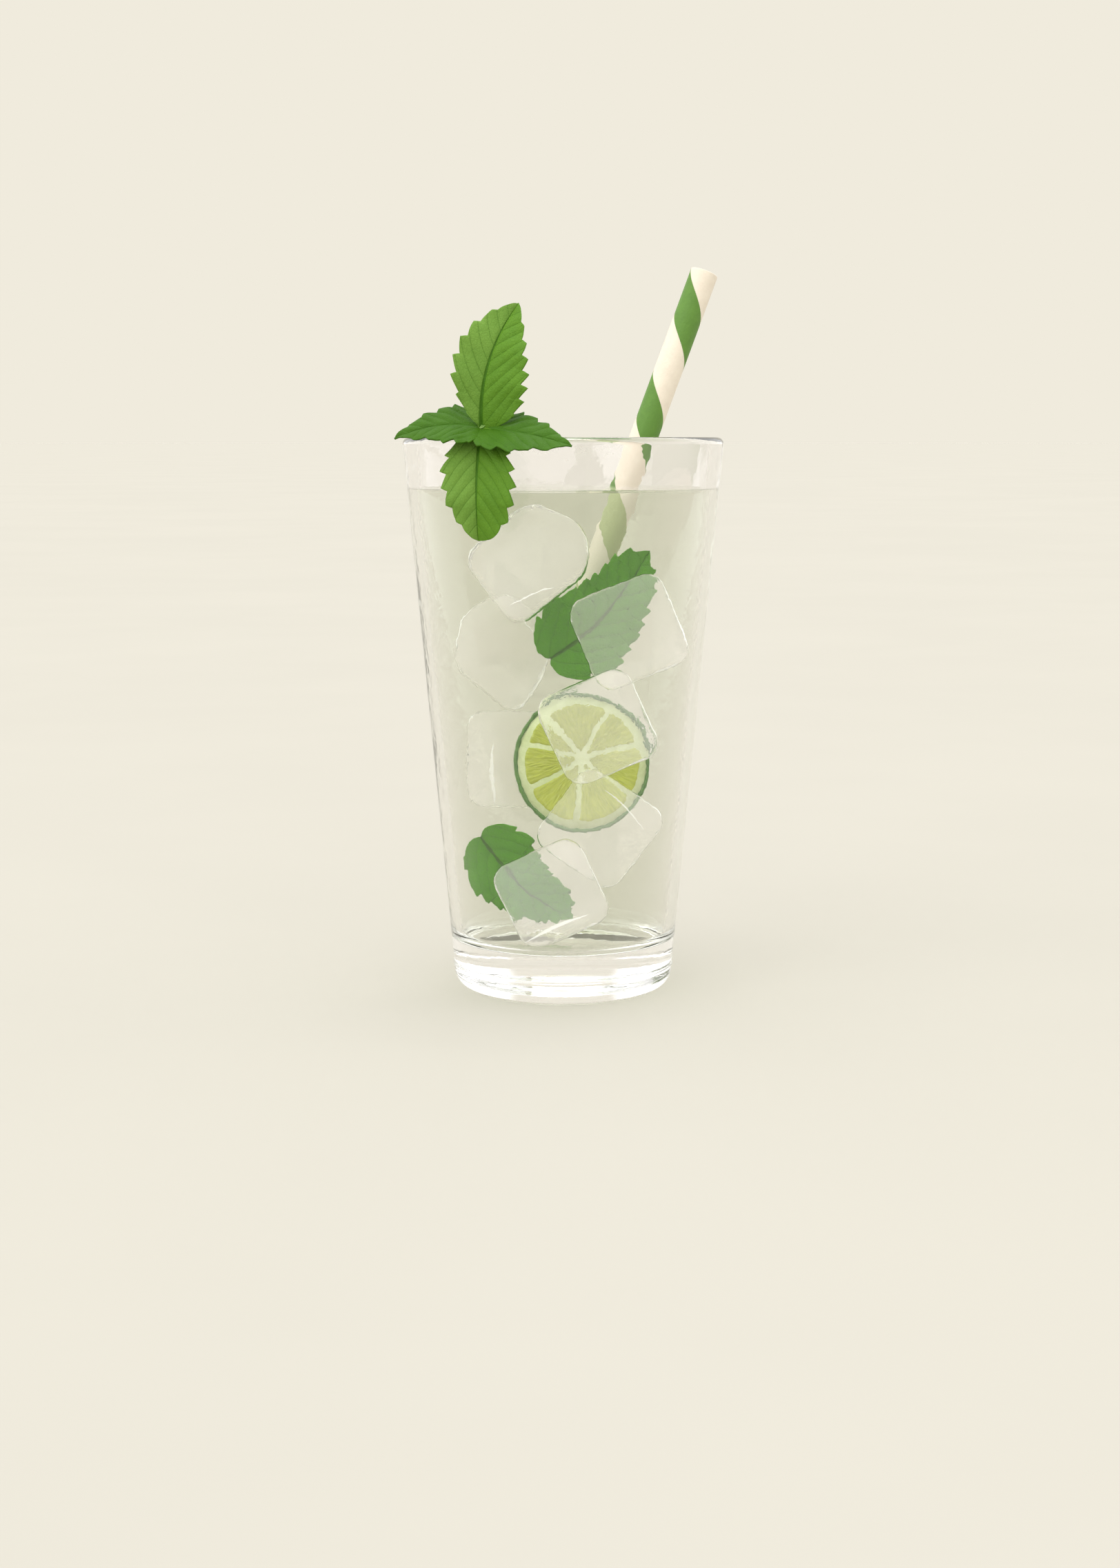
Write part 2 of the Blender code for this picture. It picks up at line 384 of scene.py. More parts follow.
def grained(graph, shader, place, size, depth):
    """Gives the finish a fine relief."""
    grain = graph.use(GRAIN, Place=place, Size=size, Depth=depth)
    graph.feed(shader.inputs["Normal"], grain.outputs["Normal"])


# %% [markdown]
# ## The stage
# A plain pale floor runs far out under a studio sky. Its colour is matched so that hardly a
# line shows where the two meet, and none from the front. Glass is drawn by what it reflects
# and bends, so the sky is bright at both sides and overhead, which turns the walls into pale
# bands. A window of the backdrop's own colour is left behind the glass, and a soft bright
# patch at the front left lights the leaves as a lamp would. All of it is part of the sky, so
# it reaches every part of the floor alike. The camera itself sees the plain backdrop.

# %% Sky
BACKDROP = linear(240, 235, 221)
TENT_GLOW = 1.6
KEY_GLOW = 3.2
KEY_FROM = Vector((-0.62, -0.60, 0.50)).normalized()
KEY_FADE = (0.86, 0.97)
STRIP_GLOW = 10.0
STRIP_FADE = (0.965, 0.985)
WINDOW_SIDE_FADE = (0.26, 0.40)
WINDOW_BACK_FADE = (0.0, 0.4)
WINDOW_TOP_FADE = (0.35, 0.60)
BOUNCES = {"max": 32, "transmission": 32, "transparent_max": 48, "glossy": 32, "diffuse": 5}


def white(glow):
    return (glow, glow, glow, 1.0)


world = bpy.data.worlds.new("sky")
world.use_nodes = True
sky = Graph(world.node_tree)
facing = sky.add("TexCoord").outputs["Generated"]
aim = sky.add("SeparateXYZ", {0: facing}).outputs
middle = sky.span(sky.math("ABSOLUTE", aim["X"]), *WINDOW_SIDE_FADE, 1.0, 0.0)
behind = sky.span(aim["Y"], *WINDOW_BACK_FADE)
low = sky.span(aim["Z"], *WINDOW_TOP_FADE, 1.0, 0.0)
window = sky.math("MULTIPLY", sky.math("MULTIPLY", middle, behind), low)
toward_key = sky.vector("DOT_PRODUCT", facing, KEY_FROM).outputs["Value"]
glow = sky.blend(window, white(TENT_GLOW), BACKDROP)
glow = sky.blend(sky.span(toward_key, *KEY_FADE), glow, white(KEY_GLOW))
glow = sky.blend(sky.span(aim["Z"], *STRIP_FADE), glow, white(STRIP_GLOW))
glow = sky.blend(sky.add("LightPath").outputs["Is Camera Ray"], glow, BACKDROP)
sky.feed(world.node_tree.nodes["Background"].inputs["Color"], glow)
bpy.context.scene.world = world
bpy.context.scene.view_settings.view_transform = "Standard"
for limit, count in BOUNCES.items():
    setattr(bpy.context.scene.cycles, limit + "_bounces", count)
print("sky of", len(world.node_tree.nodes), "nodes")

# %% [markdown]
# The floor gets more light than the backdrop's colour stands for, so its own colour is that
# of the backdrop divided by the light that falls on it. It lies a hair under the glass.

# %% Floor
FLOOR_RADII = (0.0, 1.5, 60.0)
FLOOR_DROP = 0.2 * MM
FLOOR_STEPS = 96
FLOOR_LIGHT = 2.125
FLOOR_UNEVEN = 0.01
FLOOR_MOTTLE = 0.4


def floor_shade(part):
    return (*(value / FLOOR_LIGHT * part for value in BACKDROP[:3]), 1.0)


paper, graph, shader = finish("studio floor", BACKDROP, 0.9, Specular_IOR_Level=0.0)
mottled(graph, shader, graph.object_place(), FLOOR_MOTTLE,
        floor_shade(1 + FLOOR_UNEVEN), floor_shade(1 - FLOOR_UNEVEN))
floor = turned("studio_floor", [Vector((radius, -FLOOR_DROP)) for radius in FLOOR_RADII],
               paper, steps=FLOOR_STEPS)

# %% [markdown]
# ## The glass
# A pressed tumbler: straight sides that widen upward, a thick base and a rounded lip. It is
# one turned outline, with the same measures as its solid. A faint ring stands round the
# foot, where the two parts of the mould met.

# %% Glass
GLASS_HEIGHT = 150.0 * MM
RIM_RADIUS = 43.2 * MM
FOOT_RADIUS = 29.5 * MM
WALL = 3.6 * MM
BASE_THICKNESS = 13.6 * MM
FOOT_ROUNDING = 5.0 * MM
INNER_ROUNDING = 4.0 * MM
RIM_ROUNDING = 1.75 * MM
RING_HEIGHT = 6.6 * MM
RING_DEPTH = 0.22 * MM
RING_WIDTH = 1.5 * MM
RING_POINTS = 9


def outer_radius(height):
    return FOOT_RADIUS + (RIM_RADIUS - FOOT_RADIUS) * height / GLASS_HEIGHT


def inner_radius(height):
    return outer_radius(height) - WALL


def mould_ring():
    """The ring's outline down the outer side, as corners that aren't rounded."""
    corners = []
    for part in np.linspace(-1, 1, RING_POINTS):
        height = RING_HEIGHT - RING_WIDTH / 2 * part
        swell = RING_DEPTH * math.cos(math.pi / 2 * part) ** 2
        corners.append((outer_radius(height) + swell, height, 0.0))
    return corners


clear, graph, shader = finish(
    "clear glass", linear(253, 252, 252), 0.0, Transmission_Weight=0.995, IOR=1.45)
grained(graph, shader, graph.object_place(), size=0.02, depth=0.01)
let_light_through(graph, shader, tint=white(0.985))

profile = rounded([
    (0.0, BASE_THICKNESS, 0.0),
    (inner_radius(BASE_THICKNESS), BASE_THICKNESS, INNER_ROUNDING),
    (inner_radius(GLASS_HEIGHT), GLASS_HEIGHT, RIM_ROUNDING),
    (outer_radius(GLASS_HEIGHT), GLASS_HEIGHT, RIM_ROUNDING),
    *mould_ring(),
    (outer_radius(0.0), 0.0, FOOT_ROUNDING),
    (0.0, 0.0, 0.0),
])
tumbler = keep_with(turned("tumbler", profile, clear), "clear_glass", "glass")
print("glass: %d points in its outline" % len(profile))

# %% [markdown]
# ## The drink
# Lime juice, mint and rum in soda are pale and a little cloudy. Light bends strongly from
# air into water, and in a round glass that swells whatever floats near the wall. The
# picture shows none of that, so the drink's own bending is kept slight. The body reaches a
# hair into the wall, or a film of air would shine between them.

# %% Drink
DRINK_LEVEL = 136.0 * MM
INTO_WALL = 0.15 * MM
HAZE_COLOUR = (0.66, 0.71, 0.55, 1.0)
HAZE_DENSITY = 13.5
MENISCUS_RISE = 0.7 * MM
MENISCUS_REACH = 1.6 * MM
MENISCUS_ROUNDING = 1.5 * MM

lime_water, graph, shader = finish(
    "lime water", linear(250, 251, 248), 0.02, Transmission_Weight=1.0, IOR=1.03)
grained(graph, shader, graph.object_place(), size=0.012, depth=0.02)
haze = graph.add("VolumeAbsorption", {"Color": HAZE_COLOUR, "Density": HAZE_DENSITY})
graph.feed(graph.tree.nodes["Material Output"].inputs["Volume"], haze.outputs[0])
let_light_through(graph, shader, tint=(0.99, 0.99, 0.985, 1.0))

bottom = BASE_THICKNESS - INTO_WALL
lip = DRINK_LEVEL + MENISCUS_RISE
surface = rounded([
    (0.0, DRINK_LEVEL, 0.0),
    (inner_radius(DRINK_LEVEL) - MENISCUS_REACH, DRINK_LEVEL, MENISCUS_ROUNDING),
    (inner_radius(lip) + INTO_WALL, lip, 0.0),
    (inner_radius(bottom) + INTO_WALL, bottom, INNER_ROUNDING + INTO_WALL),
    (0.0, bottom, 0.0),
])
pour = keep_with(turned("lime_water", surface, lime_water), "drink", "drink")
print("drink: %.0f mm deep" % ((DRINK_LEVEL - BASE_THICKNESS) / MM))

# %% [markdown]
# ## The straw
# A paper straw is a ribbon of paper wound into a tube, so its stripe climbs as a spiral and
# a fine seam runs beside it. The tube is a turned ring stood along its slope. In its own
# coordinates +Z runs up the tube, so the angle round Z and the height give the spiral.

# %% Straw: the tube
STRAW_RADIUS = 3.9 * MM
STRAW_WALL = 0.5 * MM
STRAW_FOOT = Vector((0.1, 18.5, 89.6)) * MM
STRAW_AT_RIM = Vector((22.6, 27.2, 150.0)) * MM
STRAW_TOP_HEIGHT = 195.5 * MM
STRAW_ROUNDING = 0.12 * MM
STRIPE_RISE = 30.4 * MM
STRIPE_SHARE = 0.44
STRIPE_START = 0.77
STRIPE_BLUR = 0.004
SEAM_WIDTH = 0.012
SOAK_EDGE = 0.8 * MM

lean = (STRAW_AT_RIM - STRAW_FOOT).normalized()
straw_length = (STRAW_TOP_HEIGHT - STRAW_FOOT.z) / lean.z


def make_spiral():
    """Where a ribbon wound round Z lies: its share of each turn, and its seam."""
    graph, enter, leave = group(
        "wound ribbon",
        [("Place", "Vector", None), ("Rise", "Float", 0.03), ("Start", "Float", 0.0),
         ("Share", "Float", 0.5)],
        [("Stripe", "Float"), ("Seam", "Float")],
    )
    parts = graph.add("SeparateXYZ", {0: enter.outputs["Place"]})
    angle = graph.math("ARCTAN2", parts.outputs["Y"], parts.outputs["X"])
    turns = graph.math("DIVIDE", angle, math.tau)
    height = graph.math("DIVIDE", parts.outputs["Z"], enter.outputs["Rise"])
    climb = graph.math("ADD", graph.math("ADD", height, turns), enter.outputs["Start"])
    along = graph.math("FRACT", climb)
    off = graph.math("ABSOLUTE", graph.math("SUBTRACT", along, 0.5))
    half = graph.math("DIVIDE", enter.outputs["Share"], 2.0)
    edge = graph.math("SUBTRACT", off, half)
    stripe = graph.span(edge, -STRIPE_BLUR, STRIPE_BLUR, 1.0, 0.0)
    graph.feed(leave.inputs["Stripe"], stripe)
    seam = graph.span(graph.math("ABSOLUTE", edge), 0.0, SEAM_WIDTH, 1.0, 0.0)
    graph.feed(leave.inputs["Seam"], seam)
    return graph.tree


SPIRAL = make_spiral()
straw_paper, graph, shader = finish("straw paper", linear(240, 233, 217), 0.62)
place = graph.object_place()
spiral = graph.use(SPIRAL, Place=place, Rise=STRIPE_RISE, Start=STRIPE_START, Share=STRIPE_SHARE)
cream = graph.use(
    MOTTLE, Place=place, Size=0.004, Light=linear(218, 207, 188), Dark=linear(213, 201, 182))
green = graph.use(
    MOTTLE, Place=place, Size=0.004, Light=linear(83, 124, 34), Dark=linear(77, 117, 29))
dry = graph.blend(spiral.outputs["Stripe"], cream.outputs["Colour"], green.outputs["Colour"])
wet = graph.blend(spiral.outputs["Stripe"], linear(226, 216, 206), linear(176, 182, 142))
up_here = lean.to_track_quat("Z", "Y").inverted() @ Vector((0.0, 0.0, 1.0))
height = graph.vector("DOT_PRODUCT", place, up_here).outputs["Value"]
level = DRINK_LEVEL - STRAW_FOOT.z
soaked = graph.span(height, level - SOAK_EDGE, level + SOAK_EDGE, 1.0, 0.0)
graph.feed(shader.inputs["Base Color"], graph.blend(soaked, dry, wet))
fibre = graph.use(GRAIN, Place=place, Size=0.0006, Depth=0.25)
seam = graph.relief(shader, spiral.outputs["Seam"], 0.4, 0.1 * MM, fibre.outputs["Normal"])
seam.invert = True

bore = STRAW_RADIUS - STRAW_WALL
tube = rounded([(radius, height, STRAW_ROUNDING) for radius, height in (
    (STRAW_RADIUS, straw_length), (STRAW_RADIUS, 0.0), (bore, 0.0), (bore, straw_length))], steps=3)
straw = turned("paper_straw", tube, straw_paper, closed=True, steps=64)
straw.location = STRAW_FOOT
straw.rotation_mode = "QUATERNION"
straw.rotation_quaternion = lean.to_track_quat("Z", "Y")
keep_with(straw, "straw_paper", "straw")
print("straw: %.0f mm long, leaning %.0f degrees" % (
    straw_length / MM, math.degrees(lean.angle(Vector((0, 0, 1))))))

# %% [markdown]
# ## Mint leaves
# A mint leaf is a thin blade with a saw-toothed edge, folded a little along its midrib, with
# side veins that run forward to the teeth and puff the blade up between them. A leaf is a
# grid of points: `place` runs along the midrib from 0 at the base to 1 at the tip, and
# `side` from -1 to 1 across it. Each point's place and its way from the midrib go into a UV
# map, so that the veins of the material lie exactly on the relief of the mesh.

# %% Leaves: outline and surface
LEAF_THICKNESS = 0.4 * MM
LEAF_BASE_WIDTH = 1.8 * MM
LEAF_TIP_WIDTH = 0.4 * MM
TOOTH_DEPTH = 0.20
TOOTH_RISE = 0.85
TOOTHED_FROM = 0.3
WAVE_HEIGHT = 0.3 * MM
WAVES = 3.5
VEIN_LEAN = 1.0
VEIN_CURVE = 1.3
PUFF = 0.35 * MM
PUFF_ALONG = 0.7
PUFF_ACROSS = (0.8, 0.5)
PUFF_FADES = (4, 5)
GROOVE_WIDTH = 0.6 * MM
GROOVE_SHARE = 0.6
RISE_ROWS = 12
DROP_ROWS = 3
LEAF_COLUMNS = 56


def saw(place, teeth):
    """A saw tooth's height, 0 to 1: a slow rise to its point, then a quick drop."""
    part = (place * teeth) % 1.0
    return np.where(part <= TOOTH_RISE, part / TOOTH_RISE, (1.0 - part) / (1.0 - TOOTH_RISE))


def toothed(place, teeth):
    """What the teeth make of a margin's reach. They grow from the base on."""
    return 1.0 + TOOTH_DEPTH * (saw(place, teeth) - 0.5) * np.minimum(1.0, place / TOOTHED_FROM)


def side_margin(place, margin, teeth):
    """The half width of a leaf along one margin: it rises to its widest, then falls."""
    widest, rise, fall = margin
    peak = rise / (rise + fall)
    smooth = (place / peak) ** rise * ((1.0 - place) / (1.0 - peak)) ** fall
    reach = widest * MM * smooth * toothed(place, teeth)
    least = np.maximum(LEAF_BASE_WIDTH / 2 * (1.0 - place), LEAF_TIP_WIDTH / 2)
    return np.maximum(reach, least)


def vein_phase(place, off, teeth):
    """Grows by one from each side vein to the next. off is the way from the midrib, as a
    share of the leaf's length."""
    return teeth * (place - VEIN_LEAN * off - VEIN_CURVE * off**2)


def leaf_rows(teeth):
    """The places of a leaf's rows, closer together where a tooth drops."""
    rise = np.linspace(0.0, TOOTH_RISE, RISE_ROWS, endpoint=False)
    drop = np.linspace(TOOTH_RISE, 1.0, DROP_ROWS, endpoint=False)
    part = np.concatenate([rise, drop])
    return np.append((np.arange(teeth)[:, None] + part).ravel() / teeth, 1.0)


def blade(name, place, midrib, outward, upward, teeth, length, material):
    """A leaf from its rows' places, the midrib's points there, its margins' offsets from
    them (rows, 2 sides) and the way its face turns."""
    place = place.reshape(-1, 1)
    side = np.linspace(-1.0, 1.0, LEAF_COLUMNS + 1)[None, :]
    share = np.abs(side)[:, :, None]
    out = np.where(side[:, :, None] > 0, outward[:, None, 1], outward[:, None, 0])
    off = np.linalg.norm(out, axis=2) * share[:, :, 0] / length
    phase = vein_phase(place, off, teeth)
    quilt = np.abs(np.sin(np.pi * phase)) ** PUFF_ALONG
    quilt *= np.sin(np.pi * np.abs(side) ** PUFF_ACROSS[0]) ** PUFF_ACROSS[1]
    quilt *= np.minimum(1.0, PUFF_FADES[0] * place) * np.minimum(1.0, PUFF_FADES[1] * (1 - place))
    groove = -np.exp(-((off * length / GROOVE_WIDTH) ** 2)) * GROOVE_SHARE
    wave = WAVE_HEIGHT * np.sin(place * math.tau * WAVES) * np.abs(side)
    lift = PUFF * (quilt + groove) + wave
    grid = midrib[:, None] + out * share + upward[:, None] * lift[:, :, None]
    mesh = sheet_mesh(name, grid)
    uv = mesh.uv_layers.new(name="leaf")
    across = 0.5 + off * np.sign(side)
    flat = np.stack([across, np.broadcast_to(place, across.shape)], -1).reshape(-1, 2)
    corner = np.empty(len(mesh.loops), np.int32)
    mesh.loops.foreach_get("vertex_index", corner)
    uv.uv.foreach_set("vector", flat[corner].astype(np.float32).ravel())
    piece = show(name, mesh, material)
    thicken = piece.modifiers.new("thickness", "SOLIDIFY")
    thicken.thickness = LEAF_THICKNESS
    thicken.offset = 0.0
    return piece


# %% [markdown]
# The veins of the material come from the UV map: `u` runs across the leaf with the midrib
# at a half, and `v` along it. The same phase as in the mesh gives the side veins, and the
# edges of small cells give the net between them. A folded leaf is lit on one half and
# shaded on the other, so each half gets a green of its own: painted light and painted shade.

# %% Leaves: veins
RIB_WIDTHS = (0.022, 0.004)
RIB_EDGE = (0.75, 1.05)
VEIN_EDGE = (0.42, 0.5)
NET_CELLS = (38.0, 38.0, 1.0)
NET_EDGE = 0.16
VEIN_GROOVE = 0.6
NET_GROOVE = 0.35
HALF_BLUR = 0.004


def make_veins():
    graph, enter, leave = group(
        "leaf veins",
        [("Map", "Vector", None), ("Teeth", "Float", 8.0)],
        [("Midrib", "Float"), ("Side veins", "Float"), ("Net", "Float"), ("Height", "Float"),
         ("Half", "Float")],
    )
    parts = graph.add("SeparateXYZ", {0: enter.outputs["Map"]})
    across = graph.math("SUBTRACT", parts.outputs["X"], 0.5)
    off = graph.math("ABSOLUTE", across)
    along = parts.outputs["Y"]
    width = graph.span(along, 0.0, 1.0, *RIB_WIDTHS, smooth=False)
    midrib = graph.span(graph.math("DIVIDE", off, width), *RIB_EDGE, 1.0, 0.0)
    bend = graph.math("MULTIPLY", graph.math("MULTIPLY", off, off), VEIN_CURVE)
    ahead = graph.math("ADD", graph.math("MULTIPLY", off, VEIN_LEAN), bend)
    phase = graph.math("MULTIPLY", graph.math("SUBTRACT", along, ahead), enter.outputs["Teeth"])
    wave = graph.math("ABSOLUTE", graph.math("SUBTRACT", graph.math("FRACT", phase), 0.5))
    veins = graph.span(wave, *VEIN_EDGE)
    net_place = graph.vector("MULTIPLY", enter.outputs["Map"], NET_CELLS).outputs[0]
    cells = graph.add("TexVoronoi", {"Vector": net_place, "Scale": 1.0}, feature="DISTANCE_TO_EDGE")
    net = graph.span(cells.outputs["Distance"], 0.0, NET_EDGE, 1.0, 0.0)
    sunk = graph.math("ADD", graph.math("MULTIPLY", veins, VEIN_GROOVE),
                      graph.math("MULTIPLY", net, NET_GROOVE))
    height = graph.math("SUBTRACT", 1.0, graph.math("MAXIMUM", sunk, midrib))
    # Which half a point lies on, so that a fold's painted light and painted shade fall on the two
    # halves.
    half = graph.span(across, -HALF_BLUR, HALF_BLUR)
    for label, value in {"Midrib": midrib, "Side veins": veins, "Net": net, "Height": height,
                         "Half": half}.items():
        graph.feed(leave.inputs[label], value)
    return graph.tree


VEINS = make_veins()
print("node group:", VEINS.name)

# %% Leaves: colour
RIB = linear(56, 98, 8)
LEAF_GREEN = linear(80, 120, 25)
# Painted light: the lit half of the upper and lower leaves' fold, paler than LEAF_GREEN on their
# shaded half.
LEAF_PAINTED_LIT_HALF = linear(97, 133, 48)
# Painted shade: the side pair hangs below and behind the others, so both its halves are painted
# darker.
LEAF_SHADE = linear(54, 94, 2)
LEAF_WET = linear(72, 133, 2)
UNEVEN_LIGHT = (1.08, 1.06, 1.1, 1.0)
UNEVEN_DARK = (0.93, 0.95, 0.9, 1.0)
VEIN_SHARES = {"Net": 0.10, "Side veins": 0.40, "Midrib": 0.95}


def leaf_finish(name, teeth, left, right, rib):
    """Mint green, with its midrib's colour and a colour for each half. Where the two differ, they
    are the painted light and painted shade of a fold.
    """
    made, graph, shader = finish(name, right, 0.6, Specular_IOR_Level=0.18)
    leaf_map = graph.add("UVMap", uv_map="leaf").outputs[0]
    veins = graph.use(VEINS, Map=leaf_map, Teeth=float(teeth))
    # The halves' two greens are the painted light and painted shade of the fold.
    half = graph.blend(veins.outputs["Half"], right, left)
    place = graph.object_place()
    uneven = graph.use(MOTTLE, Place=place, Size=0.005, Light=UNEVEN_LIGHT, Dark=UNEVEN_DARK)
    colour = graph.blend(1.0, half, uneven.outputs["Colour"], "MULTIPLY")
    for label, share in VEIN_SHARES.items():
        colour = graph.blend(graph.math("MULTIPLY", veins.outputs[label], share), colour, rib)
    graph.feed(shader.inputs["Base Color"], colour)
    skin = graph.use(GRAIN, Place=place, Size=0.0007, Depth=0.25)
    graph.relief(shader, veins.outputs["Height"], 0.45, 0.25 * MM, skin.outputs["Normal"])
    return made


# %% [markdown]
# ## The sprig
# Mint bears its leaves in pairs, and the next pair stands crosswise. Here one pair hangs to
# the left and right over the rim, and the other stands up and hangs down in front of it.
# All four meet at a node, where the stem hooks over the rim and dips into the drink.

# %% Sprig
SPRIG_ANGLE = math.radians(240.8)
SPRIG_REACH = 42.4 * MM
SPRIG_HEIGHT = 152.3 * MM
OUTWARD = Vector((math.cos(SPRIG_ANGLE), math.sin(SPRIG_ANGLE), 0.0))
NODE = OUTWARD * SPRIG_REACH + Vector((0.0, 0.0, SPRIG_HEIGHT))

# Places are millimetres from the node: the leaf's middle and tip. Then the way its face
# turns, its teeth a side, its fold, its margins (half width, rise, fall), and its colours: the
# greens of its left and right halves, which paint the light and shade that fall on it.
SPRIG_LEAVES = {
    "upper": ((1.9, -0.6, 16.3), (9.4, 4.0, 31.2), (-0.15, -1.0, 0.10), 8, 0.20,
              ((10.8, 0.42, 0.85), (8.3, 0.95, 0.98)), LEAF_PAINTED_LIT_HALF, LEAF_GREEN),
    "lower": ((-1.1, -6.6, -13.7), (-0.8, -5.8, -28.1), (-0.25, -0.97, 0.10), 7, 0.18,
              ((8.4, 0.60, 0.80), (9.9, 0.60, 0.50)), LEAF_GREEN, LEAF_PAINTED_LIT_HALF),
    "left": ((-10.8, -0.8, 0.5), (-22.0, -1.0, -2.6), (0.10, -0.56, 0.80), 6, 0.08,
             ((7.4, 0.25, 0.95), (8.4, 0.35, 1.00)), LEAF_SHADE, LEAF_SHADE),
    "right": ((11.9, -6.8, -1.6), (22.8, -11.0, -4.4), (-0.10, -0.55, 0.80), 6, 0.08,
              ((9.2, 0.35, 0.90), (7.0, 0.35, 1.10)), LEAF_SHADE, LEAF_SHADE),
}


def sprig_leaf(name, middle, tip, face, teeth, fold, margins, left, right):
    """A leaf whose midrib is a curve from the node through its middle to its tip."""
    middle, tip, face = (np.array(part) for part in (middle, tip, face))
    place = leaf_rows(teeth)[:, None]
    pull = (middle * 2 - tip / 2) * MM
    midrib = np.array(NODE) + pull * 2 * place * (1 - place) + tip * MM * place**2
    along = pull * (1 - 2 * place) + tip * MM * place
    along /= np.linalg.norm(along, axis=1, keepdims=True)
    across = np.cross(face, along)
    across /= np.linalg.norm(across, axis=1, keepdims=True)
    upward = np.cross(along, across)
    reach = [side_margin(place, margin, teeth) for margin in margins]
    outward = np.stack([-across * reach[0] + upward * reach[0] * fold,
                        across * reach[1] + upward * reach[1] * fold], 1)
    length = np.linalg.norm(tip) * MM
    colours = leaf_finish("mint " + name, teeth, left, right, RIB)
    return blade(name + "_leaf", place, midrib, outward, upward, teeth, length, colours)


leaves = [sprig_leaf(name, *spec) for name, spec in SPRIG_LEAVES.items()]
for leaf in leaves:
    keep_with(leaf, "mint_leaf", "mint_sprig")
print("sprig:", ", ".join(leaf.name for leaf in leaves))

# %% [markdown]
# A stem is round and bends softly, so it is a Bezier curve with a round bevel. Its points
# are given as a way out from the glass's axis and a height, in millimetres.

# %% Stem
STEM_RADIUS = 1.25 * MM
STEM_ROUTE = ((42.4, 153.3), (38.4, 151.3), (35.4, 145.8), (33.9, 130.0))

stem_green, graph, shader = finish("mint stem", linear(112, 148, 66), 0.5)
place = graph.object_place()
mottled(graph, shader, place, 0.003, linear(124, 158, 76), linear(98, 134, 54))
grained(graph, shader, place, size=0.0008, depth=0.3)
route = bpy.data.curves.new("mint_stem", "CURVE")
route.dimensions = "3D"
route.bevel_depth = STEM_RADIUS
route.bevel_resolution = 6
route.use_fill_caps = True
spline = route.splines.new("BEZIER")
spline.bezier_points.add(len(STEM_ROUTE) - 1)
for point, (reach, height) in zip(spline.bezier_points, STEM_ROUTE):
    point.co = OUTWARD * reach * MM + Vector((0.0, 0.0, height * MM))
    point.handle_left_type = point.handle_right_type = "AUTO"
route.materials.append(stem_green)
stem = bpy.data.objects.new("mint_stem", route)
bpy.context.scene.collection.objects.link(stem)
keep_with(stem, "mint_leaf", "mint_sprig")

# %% [markdown]
# ## Ice
# Bar ice starts as a cube and melts: corners go first, faces turn slightly wavy, and fine
# cracks catch the light. Each block is drawn by its corners in the picture, pushed out into
# a prism that faces the lens, turned a little, bevelled, meshed evenly and then rippled.

# %% Ice blocks
ICE_BEVEL = 5.0 * MM
ICE_BEVEL_STEPS = 5
ICE_FACE = 0.7 * MM
ICE_SOFTENING = 6
MELT_DEPTH = 0.5 * MM
MELT_SIZE = 12.0 * MM

ice, graph, shader = finish(
    "wet ice", linear(255, 252, 254), 0.06, Transmission_Weight=0.865, IOR=1.055)
grained(graph, shader, graph.object_place(), size=0.006, depth=0.22)
let_light_through(graph, shader, tint=white(0.995))

melting = bpy.data.textures.new("melt", "CLOUDS")
melting.noise_scale = MELT_SIZE
melting.noise_depth = 1


def square(across, down, side, turn):
    """The corners of a square in the picture, turned anticlockwise in degrees."""
    spin = Matrix.Rotation(-math.radians(turn), 2)
    corners = [Vector(corner) * side / 2 for corner in ((-1, -1), (1, -1), (1, 1), (-1, 1))]
    return [Vector((across, down)) + spin @ corner for corner in corners]


# Corners in pixels, depth and thickness in millimetres, then how far the block leans back
# and turns to the right, in degrees.
ICE_BLOCKS = {
    "ice_1": ([(672, 808), (768, 722), (848, 760), (857, 824), (750, 913)], -4, 13, 8, -6),
    "ice_2": ([(671, 888), (732, 852), (800, 905), (795, 972), (753, 1038), (655, 962)],
              15, 12, -8, 18),
    "ice_3": (square(909, 914.5, 142, 23), -4.5, 11, -9, 5),
    "ice_4": (square(864.5, 1052.5, 141, 23.5), -16, 11.5, -8, 4),
    "ice_5": (square(748, 1098.5, 140, -1), 14, 10, 3, 12),
    "ice_6": (square(867.5, 1198, 141, -36), -5, 11, -8, 1),
    "ice_7": (square(800, 1294, 134, 25), -16.8, 11, -8, -3),
}


